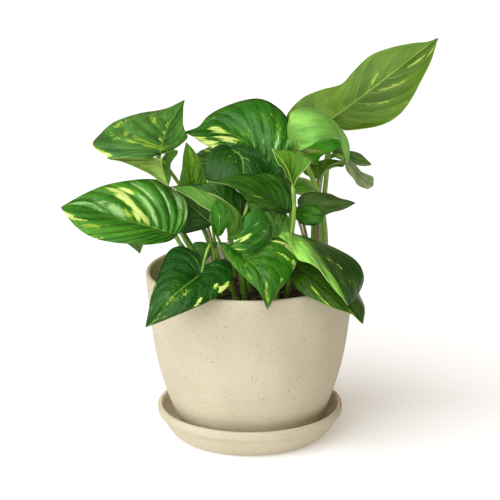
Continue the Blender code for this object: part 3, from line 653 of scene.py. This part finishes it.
def matt_leaf_skin():
    """Underside of a pothos leaf: no wax, paler and duller, with raised light veins and
    the marbling showing faintly through."""
    material, tree, shader = new_material("pothos_leaf_matt_underside")
    across, phase, wave = blade_axes(tree)
    green = add(tree, "Attribute", attribute_name="under_green")
    marks = add(tree, "SeparateColor", {0: add(tree, "Attribute", attribute_name="marks")})
    cloud = streaks(tree, across, phase, 1.6, 8.0, 5.0, 3.0)
    tissue = mottle(tree, green, cloud, 0.70, 1.34, (0.508, 0.492))
    fibre = streaks(tree, across, phase, 2.5, 85.0, 9.0, 2.0)
    tissue = mottle(tree, tissue, fibre, 0.86, 1.16)
    colour = veined(tree, across, wave, fibre, tissue, 0.24, (0.26, 0.03),
                    (0.010, 0.036, 0.65), "#b4cb66")
    fine = streaks(tree, across, phase, 9.0, 66.0, 17.0, 1.0)
    broad = streaks(tree, across, phase, 3.4, 24.0, 11.0, 6.0)
    pale = add(tree, "Math", {0: marks.outputs[0], 1: marks.outputs[1]},
               operation="MAXIMUM")
    level = weigh(tree, (broad, 0.6), (fine, 0.4), (pale, 1.0))
    colour = lay(tree, colour, level, 0.72, 0.95, "#b9c85a", 0.55)
    relief = weigh(tree, (wave, -0.5), (fibre, 0.3), (cloud, 1.0))
    feed(tree, shader, {
        "Base Color": colour, "Roughness": 0.55, "IOR": 1.40, "Specular IOR Level": 0.30,
        "Normal": add(tree, "Bump", {"Strength": 0.7, "Distance": 0.0008,
                                     "Height": relief})})
    return material


def leaf_margin_skin():
    """The thin cartilage rim round a leaf: pale yellow-green and a little glossy."""
    material, tree, shader = new_material("pothos_leaf_pale_margin")
    place = add(tree, "TexCoord").outputs["Object"]
    patch = add(tree, "TexNoise", {"Vector": place, "Scale": 90.0})
    colour = lay(tree, hex_colour("#8fae4e"), patch, 0.35, 0.65, "#b7c97e")
    feed(tree, shader, {"Base Color": colour, "Roughness": 0.45})
    return material


def petiole_skin(name, young, old):
    """A leaf stalk: smooth, faintly grooved along its length, green going to olive."""
    material, tree, shader = new_material(name)
    place = add(tree, "TexCoord").outputs["Object"]
    patch = add(tree, "TexNoise", {"Vector": place, "Scale": 55.0, "Detail": 3.0})
    colour = lay(tree, hex_colour(young), patch, 0.35, 0.65, old)
    # grooves 1 mm apart that run up the stalk
    drawn = add(tree, "Mapping", {"Vector": place, "Scale": (900.0, 900.0, 60.0)})
    groove = add(tree, "TexNoise", {"Vector": drawn, "Scale": 1.0, "Detail": 2.0})
    feed(tree, shader, {
        "Base Color": mottle(tree, colour, groove, 0.82, 1.18, **EASED), "Roughness": 0.42,
        "Normal": add(tree, "Bump", {"Strength": 0.4, "Distance": 0.0003,
                                     "Height": groove})})
    return material


def moulded_bioplastic(name, darker, lighter):
    """Moulded plant-fibre bioplastic: cream, matt, with husk specks 1 to 1.5 mm across
    scattered through it and a skin that is very slightly uneven."""
    material, tree, shader = new_material(name)
    place = add(tree, "TexCoord").outputs["Object"]
    tone = add(tree, "TexNoise", {"Vector": place, "Scale": 22.0, "Detail": 3.0})
    colour = lay(tree, hex_colour(darker), tone, 0.3, 0.7, lighter)
    grain = add(tree, "TexNoise", {"Vector": place, "Scale": 900.0, "Detail": 2.0})
    colour = mottle(tree, colour, grain, 0.965, 1.03, **EASED)
    # husk specks, from dense fine ones to rare large ones: cells to the metre, radius as a
    # part of a cell, share of the cells that hold one, colour, strength
    for cells, radius, share, code, depth in ((620.0, 0.30, 0.62, "#ab9870", 0.62),
                                              (380.0, 0.20, 0.55, "#94794c", 0.64),
                                              (200.0, 0.13, 0.48, "#775c38", 0.64),
                                              (105.0, 0.08, 0.28, "#5e452a", 0.62)):
        cell = add(tree, "TexVoronoi", {"Vector": place, "Scale": cells})
        chance = add(tree, "SeparateColor", {0: cell.outputs["Color"]})
        here = add(tree, "MapRange", {0: cell, 1: radius * 0.7, 2: radius, 3: depth,
                                      4: 0.0}, **EASED)
        kept = add(tree, "Math", {0: chance, 1: share}, operation="LESS_THAN")
        speck = add(tree, "Math", {0: here, 1: kept}, operation="MULTIPLY")
        colour = add(tree, "Mix", {0: speck, 6: colour, 7: hex_colour(code)},
                     data_type="RGBA").outputs[2]
    relief = weigh(tree, (grain, 0.3), (tone, 1.0))
    feed(tree, shader, {
        "Base Color": colour, "Roughness": 0.62, "IOR": 1.46,
        "Normal": add(tree, "Bump", {"Strength": 0.25, "Distance": 0.0006,
                                     "Height": relief})})
    return material


def potting_mix():
    """Damp peat: nearly black-brown crumbs 1 to 3 mm across, rough and lightless, with
    painted shade darkening the gaps between the crumbs.
    """
    material, tree, shader = new_material("potting_soil_damp_peat")
    place = add(tree, "TexCoord").outputs["Object"]
    crumbs = add(tree, "TexVoronoi", {"Vector": place, "Scale": 420.0})
    shade = add(tree, "TexNoise", {"Vector": place, "Scale": 160.0, "Detail": 4.0})
    colour = lay(tree, hex_colour("#23180f"), shade, 0.35, 0.7, "#4c3724")
    # painted shade: each crumb darkens towards the gaps round it, and is lighter at its
    # middle
    edge = add(tree, "MapRange", {0: crumbs, 1: 0.0, 2: 0.8, 3: 1.25, 4: 0.45}, **EASED)
    relief = weigh(tree, (shade, 1.0), (crumbs, -1.0))
    feed(tree, shader, {
        "Base Color": add(tree, "HueSaturation", {"Value": edge, "Color": colour}),
        "Roughness": 0.92,
        "Normal": add(tree, "Bump", {"Strength": 1.0, "Distance": 0.0015,
                                     "Height": relief})})
    return material


def dry_bark(name, light, dark):
    """Broken bark and fibre: dry, matt, with grain every 1 to 2 mm."""
    material, tree, shader = new_material(name)
    place = add(tree, "TexCoord").outputs["Object"]
    grain = add(tree, "TexNoise", {"Vector": place, "Scale": 700.0, "Detail": 4.0})
    patch = add(tree, "TexNoise", {"Vector": place, "Scale": 120.0})
    mixed = weigh(tree, (grain, 0.5), (patch, 0.5))
    colour = lay(tree, hex_colour(dark), mixed, 0.38, 0.62, light)
    feed(tree, shader, {
        "Base Color": colour, "Roughness": 0.85,
        "Normal": add(tree, "Bump", {"Strength": 0.8, "Distance": 0.0005,
                                     "Height": grain})})
    return material


def studio_paper():
    """Seamless white studio paper, matt, with a faint glow that keeps it white."""
    material, tree, shader = new_material("studio_paper_white")
    feed(tree, shader, {
        "Base Color": hex_colour("#f7f7f7"), "Roughness": 0.95, "Specular IOR Level": 0.0,
        "Emission Color": PAPER_GLOW_COLOUR, "Emission Strength": PAPER_GLOW})
    return material


# ---------------------------------------------------------------- shapes

def settle(thing, replaced=()):
    """Link a piece, ride it on the plant's one body and hide the CAD nodes it replaces."""
    bpy.context.scene.collection.objects.link(thing)
    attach(thing, "root")
    if replaced:
        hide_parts(*replaced)
    return thing


def piece(name, build, replaced, materials):
    """Turn a finished bmesh into a smooth-shaded piece of the plant."""
    for face in build.faces:
        face.smooth = True
    mesh = bpy.data.meshes.new(name)
    build.to_mesh(mesh)
    build.free()
    for material in materials:
        mesh.materials.append(material)
    return settle(bpy.data.objects.new(name, mesh), replaced)


def along(stops, part):
    """A point on the smooth line through several stops."""
    spans = len(stops) - 1
    span = min(int(part * spans), spans - 1)
    t = part * spans - span
    here, there = stops[span], stops[span + 1]
    before = stops[span - 1] if span > 0 else 2 * here - there
    beyond = stops[span + 2] if span + 2 <= spans else 2 * there - here
    slope = there - before
    dip = 2 * before - 5 * here + 4 * there - beyond
    turn = 3 * here - before - 3 * there + beyond
    return 0.5 * (2 * here + slope * t + dip * t * t + turn * t * t * t)


def bend(start, middle, end, part):
    """A point on the smooth curve from start through middle to end."""
    pull = 2 * middle - (start + end) / 2
    left = 1 - part
    return left * left * start + 2 * left * part * pull + part * part * end


def evenly(stops, count, fineness=240):
    """Points an even distance apart on the smooth line through the stops."""
    fine = [along(stops, step / fineness) for step in range(fineness + 1)]
    gone = [0.0]
    for here, there in zip(fine, fine[1:]):
        gone.append(gone[-1] + (there - here).length)
    points = []
    span = 0
    for step in range(count + 1):
        goal = gone[-1] * step / count
        while span < fineness - 1 and gone[span + 1] < goal:
            span += 1
        share = (goal - gone[span]) / (gone[span + 1] - gone[span])
        points.append(fine[span].lerp(fine[span + 1], share))
    return points


def spot_on(points, part):
    """The point that part of the way along an evenly spaced line."""
    place = max(0.0, min(1.0, part)) * (len(points) - 1)
    low = min(int(place), len(points) - 2)
    return points[low].lerp(points[low + 1], place - low)


def smooth_profile(pairs, steps):
    """The (radius, height) pairs as a smooth line with more points."""
    stops = [Vector((radius, height, 0)) for radius, height in pairs]
    return [tuple(along(stops, step / steps)[:2]) for step in range(steps + 1)]


def turned(name, profile, material, replaced, ring=False):
    """Spin (radius, height) pairs about the Z axis. A ring is closed from its last pair
    to its first; anything else starts and ends on the axis."""
    build = bmesh.new()
    line = [build.verts.new((radius * MM, 0, height * MM)) for radius, height in profile]
    pairs = list(zip(line, line[1:]))
    if ring:
        pairs.append((line[-1], line[0]))
    edges = [build.edges.new(pair) for pair in pairs]
    bmesh.ops.spin(build, geom=line + edges, cent=(0, 0, 0), axis=(0, 0, 1),
                   angle=2 * math.pi, steps=LATHE_STEPS, use_merge=True)
    bmesh.ops.remove_doubles(build, verts=build.verts, dist=0.01 * MM)
    bmesh.ops.recalc_face_normals(build, faces=build.faces)
    return piece(name, build, replaced, [material])


def line_inside(thing, material, lowest):
    """Give a second material to the faces that look inward or up, above a height: the
    lighter copy that paints light into the shade inside the pot and saucer.
    """
    leans_out, looks_down = 0.15, -0.2
    thing.data.materials.append(material)
    for face in thing.data.polygons:
        outward = face.center.x * face.normal.x + face.center.y * face.normal.y
        looks_in = outward < leans_out * face.center.to_2d().length
        if looks_in and face.normal.z > looks_down and face.center.z > lowest * MM:
            face.material_index = 1


def pot(outside, painted_light_inside):
    """The pot: a bowl that flares quickly from its foot, then rises almost straight."""
    wall = smooth_profile(POT_OUTSIDE, 40)
    lip = [(82.3, POT_HEIGHT - 0.9), (81.8, POT_HEIGHT - 0.3), (80.9, POT_HEIGHT),
           (80.0, POT_HEIGHT - 0.3), (79.4, POT_HEIGHT - 0.9), (79.2, POT_HEIGHT - 1.8)]
    inner = [(radius - POT_WALL, height) for radius, height in reversed(wall[8:-2])]
    floor = POT_LIFT + POT_FLOOR
    low = [(53.4, 14.6), (49.0, floor), (DRAIN_RADIUS, floor), (DRAIN_RADIUS, POT_LIFT)]
    foot = [(50.0, POT_LIFT), (51.6, POT_LIFT + 0.3)]
    shell = turned("pot_shell", foot + wall + lip + inner + low, outside,
                   ["pot"], ring=True)
    line_inside(shell, painted_light_inside, floor)


def saucer(outside, painted_light_inside):
    """The saucer: flat foot, curved bowl, and a thicker rounded band round the lip."""
    lip = [(73.4, 25.1), (72.6, SAUCER_HEIGHT), (71.7, 25.4), (71.0, 24.8)]
    profile = [(0, 0), (54.0, 0)] + smooth_profile(SAUCER_OUTSIDE, 44) + lip
    profile += smooth_profile(SAUCER_INSIDE, 14) + [(0, SAUCER_FLOOR)]
    bowl = turned("saucer_bowl", profile, outside, ["saucer"])
    line_inside(bowl, painted_light_inside, SAUCER_FLOOR - 1.0)


def soil_height(radius):
    """Height of the soil's gently mounded top at a distance from the pot's axis."""
    return SOIL_TOP + SOIL_MOUND * (1 - (radius / SOIL_RADIUS) ** 2)


def soil(material):
    """The potting mix: a filled bowl whose top is lumpy, and flat against the pot."""
    floor = POT_LIFT + POT_FLOOR + CLEARANCE
    rings = [SOIL_RIM * (1 - step / SOIL_RINGS) for step in range(SOIL_RINGS + 1)]
    profile = [(0, floor), (48.0, floor), *SOIL_SIDE]
    profile += [(radius, soil_height(radius)) for radius in rings]
    thing = turned("potting_soil_fill", profile, material, ["soil"])
    for corner in thing.data.vertices:
        room = SOIL_RIM - math.hypot(corner.co.x, corner.co.y) / MM
        if corner.co.z / MM > SOIL_TOP - SOIL_MOUND and room > LUMP_ROOM[0]:
            lump = sum(noise.noise(corner.co * count) * tall for count, tall in SOIL_LUMPS)
            corner.co.z += lump * MM * min(1.0, room / LUMP_ROOM[1])


def scatter_chips(name, material, count, seed, size):
    """Broken flakes of bark lying on the soil, each a squashed and turned hull."""
    rand = random.Random(seed)
    build = bmesh.new()
    for _ in range(count):
        radius = SCATTER_RADIUS * math.sqrt(rand.random())
        turn = rand.uniform(0, 2 * math.pi)
        length = rand.uniform(*size)
        made = bmesh.ops.create_icosphere(build, subdivisions=1, radius=0.5 * length * MM)
        for corner in made["verts"]:
            corner.co *= rand.uniform(0.75, 1.15)
        # its width and thickness are parts of its length
        shape = Matrix.Diagonal((1.0, rand.uniform(0.35, 0.7), rand.uniform(0.18, 0.4), 1))
        tilt = Matrix.Rotation(rand.uniform(-CHIP_TILT, CHIP_TILT), 4, "X")
        lean = Matrix.Rotation(rand.uniform(-CHIP_TILT, CHIP_TILT), 4, "Y")
        spin = Matrix.Rotation(rand.uniform(0, 2 * math.pi), 4, "Z")
        spot = Vector((radius * math.cos(turn), radius * math.sin(turn),
                       soil_height(radius) + 0.10 * length + 0.6)) * MM
        bmesh.ops.transform(build, verts=made["verts"],
                            matrix=Matrix.Translation(spot) @ spin @ lean @ tilt @ shape)
    thing = piece(name, build, (), [material])
    for face in thing.data.polygons:
        face.use_smooth = False


def tube(name, strands, material, replaced):
    """Round strands as one bevelled curve. Each strand is a list of (point, radius)."""
    curve = bpy.data.curves.new(name, "CURVE")
    curve.dimensions = "3D"
    curve.bevel_depth = MM
    curve.bevel_resolution = 3
    curve.use_fill_caps = True
    for strand in strands:
        line = curve.splines.new("POLY")
        line.points.add(len(strand) - 1)
        line.use_smooth = True
        for spot, (centre, radius) in zip(line.points, strand):
            spot.co = (*(centre * MM), 1.0)
            spot.radius = radius
    curve.materials.append(material)
    return settle(bpy.data.objects.new(name, curve), replaced)


# ---------------------------------------------------------------- leaves

def vein_phase(out, part):
    """How far along the blade a point is, counting the sweep of the side veins."""
    return part - VEIN_SWEEP[0] * out - VEIN_SWEEP[1] * out * out


def blade_lines(row):
    """For each row of the blade from base to tip: the midrib's point and direction, and
    the left and right edges' points."""
    midrib, left, right, _, notch = row
    spine = evenly([Vector(point) for point in midrib], 2 * BLADE_ROWS)
    base, tip = spine[0], spine[-1]
    first = (spine[4] - base).normalized()
    edges = []
    for side in (left, right):
        stops = [Vector(point) for point in side]
        lobe = stops[0] - base
        back = base + 0.5 * lobe - first * (notch * lobe.length)
        edges.append(evenly([base, back] + stops + [tip], BLADE_ROWS))
    lines = []
    for step in range(BLADE_ROWS + 1):
        part = step / BLADE_ROWS
        # rows crowd together at the midrib's base, because the lobes reach back from it
        rib_part = RIB_EVENNESS * part + (1 - RIB_EVENNESS) * part ** 3
        ahead = spot_on(spine, rib_part + RIB_STEP) - spot_on(spine, rib_part - RIB_STEP)
        lines.append((spot_on(spine, rib_part), ahead.normalized(),
                      edges[0][step], edges[1][step]))
    return lines


def blade_point(line, arch, side, out, part, swell, phase):
    """A point of the blade: how far out from the midrib, and how far along."""
    rib, ahead, left, right = line
    reach = (right if side > 0 else left) - rib
    width = reach.length
    if width < NO_WIDTH:
        return rib
    rise = (side * reach).cross(ahead).normalized()
    dome = 4 * out * (1 - out)
    room = min(1.0, width / ROOMY_HALF)
    pillow = abs(math.sin(math.pi * VEINS * vein_phase(out, part))) ** 0.8
    lift = arch * width * dome
    lift += swell * room * pillow * dome ** 0.6
    lift += FOLD_DEPTH * room * min(1.0, out / FOLD_WIDTH)
    height, waves = MARGIN_WAVE
    lift += height * room * out ** 3 * math.sin(2 * math.pi * waves * part + phase)
    return rib + reach * out + rise * lift


def leaf(name, row, finish, skins, order):
    """A leaf blade: a fine grid laid over the leaf's surface, painted, then thickened."""
    upper, under, swell, flecks, _ = finish
    lines = blade_lines(row)
    build = bmesh.new()
    sheet = build.loops.layers.uv.new("blade")
    bmesh.ops.create_grid(build, x_segments=2 * BLADE_COLUMNS, y_segments=BLADE_ROWS,
                          size=0.5)
    for face in build.faces:
        for loop in face.loops:
            loop[sheet].uv = (loop.vert.co.x + 0.5, loop.vert.co.y + 0.5)
    painted = build.verts.layers.float_color.new("marks")
    top_side = build.verts.layers.float_color.new("upper_green")
    low_side = build.verts.layers.float_color.new("under_green")
    left, right = [[Vector(hex_colour(code)) for code in pair]
                   for pair in HALVES.get(name, ((upper, under), (upper, under)))]
    for corner in build.verts:
        across = 2 * corner.co.x
        part = corner.co.y + 0.5
        side = 1 if across > 0 else -1
        swept = vein_phase(abs(across), part)
        # the third tone, silver, is partly painted sheen
        levels = {"cream": 0.0, "lime": flecks, "silver": 0.0}
        for tone, marks in MARKS.get(name, {}).items():
            for mark_across, mark_along, wide, long, strength in marks:
                far = (((across - mark_across) / wide) ** 2
                       + ((swept - mark_along) / long) ** 2)
                levels[tone] = max(levels[tone], strength * math.exp(-MARK_FALL * far))
        corner[painted] = (*levels.values(), 1.0)
        share = max(0.0, min(1.0, 0.5 + TONE_TURN * across))
        corner[top_side] = left[0].lerp(right[0], share)
        corner[low_side] = left[1].lerp(right[1], share)
        corner.co = MM * blade_point(lines[round(part * BLADE_ROWS)], row[3][side > 0],
                                     side, abs(across), part, swell, WAVE_STEP * order)
    bmesh.ops.remove_doubles(build, verts=build.verts, dist=0.005 * MM)
    thing = piece("blade_" + name, build, ["leaf_" + name], skins)
    for label, value in (("seed", SEED_STEP * order),
                         ("ridges", min(1.0, swell / DEEPEST_SWELL))):
        layer = thing.data.attributes.new(label, "FLOAT", "POINT")
        layer.data.foreach_set("value", [value] * len(thing.data.vertices))
    solid = thing.modifiers.new("Thickness", "SOLIDIFY")
    solid.thickness = BLADE_THICKNESS * MM
    solid.offset = 0
    solid.material_offset = 1
    solid.material_offset_rim = 2


def petiole(name, row, way, girth, material):
    """A leaf's stalk from the soil to its base, and the midrib ridge under the blade."""
    lines = blade_lines(row)
    rib = []
    for step in range(2, BLADE_ROWS, 3):
        spot, ahead, left, right = lines[step]
        square = (right - left).cross(ahead).normalized()
        radius = girth * RIDGE[0] * (1 - step / BLADE_ROWS) ** 0.6 + RIDGE[1]
        rib.append((spot - square * (RIDGE_DROP[0] + RIDGE_DROP[1] * radius), radius))
    base, ahead, _, _ = lines[0]
    _, _, left, right = lines[BLADE_ROWS // 5]
    up = (right - left).cross(ahead).normalized()
    side = -1 if name in OVER_THE_TOP else 1
    top = base - up * (side * PETIOLE_GAP)
    foot = Vector((*way[0], soil_height(math.hypot(*way[0])) - PETIOLE_ROOT))
    stem = []
    for step in range(PETIOLE_POINTS + 1):
        part = step / PETIOLE_POINTS
        radius = PETIOLE_FOOT + (PETIOLE_TOP - PETIOLE_FOOT) * part ** 0.8
        radius += KNEE[0] * math.exp(-((part - KNEE[1]) / KNEE[2]) ** 2)
        radius += SHEATH[0] * math.exp(-(part / SHEATH[1]) ** 2)
        stem.append((bend(foot, Vector(way[1]), top, part), girth * radius))
    tube("petiole_" + name, [stem, rib], material, ["stalk_" + name])


# ---------------------------------------------------------------- build

def build_plant():
    """Every piece of the object."""
    outside = moulded_bioplastic("bioplastic_moulded_speckled", "#b7ad93", "#c0b69c")
    # painted light: the inside is a lighter, warmer copy of the bioplastic, which lifts the
    # shade inside the pot and saucer
    painted_light_inside = moulded_bioplastic("bioplastic_inside_painted_light", "#f0e2ca", "#f6e9d3")
    pot(outside, painted_light_inside)
    saucer(outside, painted_light_inside)
    soil(potting_mix())
    scatter_chips("bark_chips", dry_bark("bark_chips_broken", "#8a6742", "#3b2716"),
                  count=240, seed=11, size=(2.5, 8.0))
    scatter_chips("peat_crumbs", dry_bark("peat_crumbs_damp", "#4d3826", "#1f150d"),
                  count=420, seed=12, size=(1.5, 3.5))
    skins = [waxy_leaf_skin(), matt_leaf_skin(), leaf_margin_skin()]
    young = petiole_skin("petiole_young_green", "#86ad3c", "#6a9030")
    old = petiole_skin("petiole_old_olive", "#8b9a48", "#7f7444")
    for order, (name, row) in enumerate(LEAVES.items()):
        leaf(name, row, FINISH[name], skins, order)
        petiole(name, row, STALKS[name], FINISH[name][4],
                old if name in OLD_STALKS else young)


def build_studio():
    """White paper floor, a soft wide key from the upper left, warm faint surroundings."""
    scene = bpy.context.scene
    build = bmesh.new()
    bmesh.ops.create_grid(build, x_segments=1, y_segments=1, size=PAPER_REACH)
    mesh = bpy.data.meshes.new("studio_floor")
    build.to_mesh(mesh)
    build.free()
    mesh.materials.append(studio_paper())
    floor = bpy.data.objects.new("studio_floor", mesh)
    scene.collection.objects.link(floor)

    sun = bpy.data.lights.new("key_light", "SUN")
    sun.energy = KEY_STRENGTH
    sun.angle = math.radians(KEY_SPREAD)
    sun.color = KEY_COLOUR
    key = bpy.data.objects.new("key_light", sun)
    key.rotation_euler = Vector(KEY_FROM).to_track_quat("Z", "Y").to_euler()
    scene.collection.objects.link(key)

    scene.world = bpy.data.worlds.new("studio_surroundings")
    scene.world.use_nodes = True
    backdrop = scene.world.node_tree.nodes["Background"]
    backdrop.inputs["Color"].default_value = FILL_COLOUR
    backdrop.inputs["Strength"].default_value = FILL_STRENGTH

    lens = bpy.data.cameras.new("camera")
    lens.sensor_width = CAMERA_SENSOR
    lens.lens = CAMERA_LENS
    lens.clip_start = 0.05
    camera = bpy.data.objects.new("camera", lens)
    camera.location = CAMERA_PLACE
    camera.rotation_euler = (math.radians(CAMERA_TILT), 0.0, 0.0)
    scene.collection.objects.link(camera)
    bpy.context.scene.camera = camera
    scene.view_settings.view_transform = "Standard"


build_plant()
build_studio()
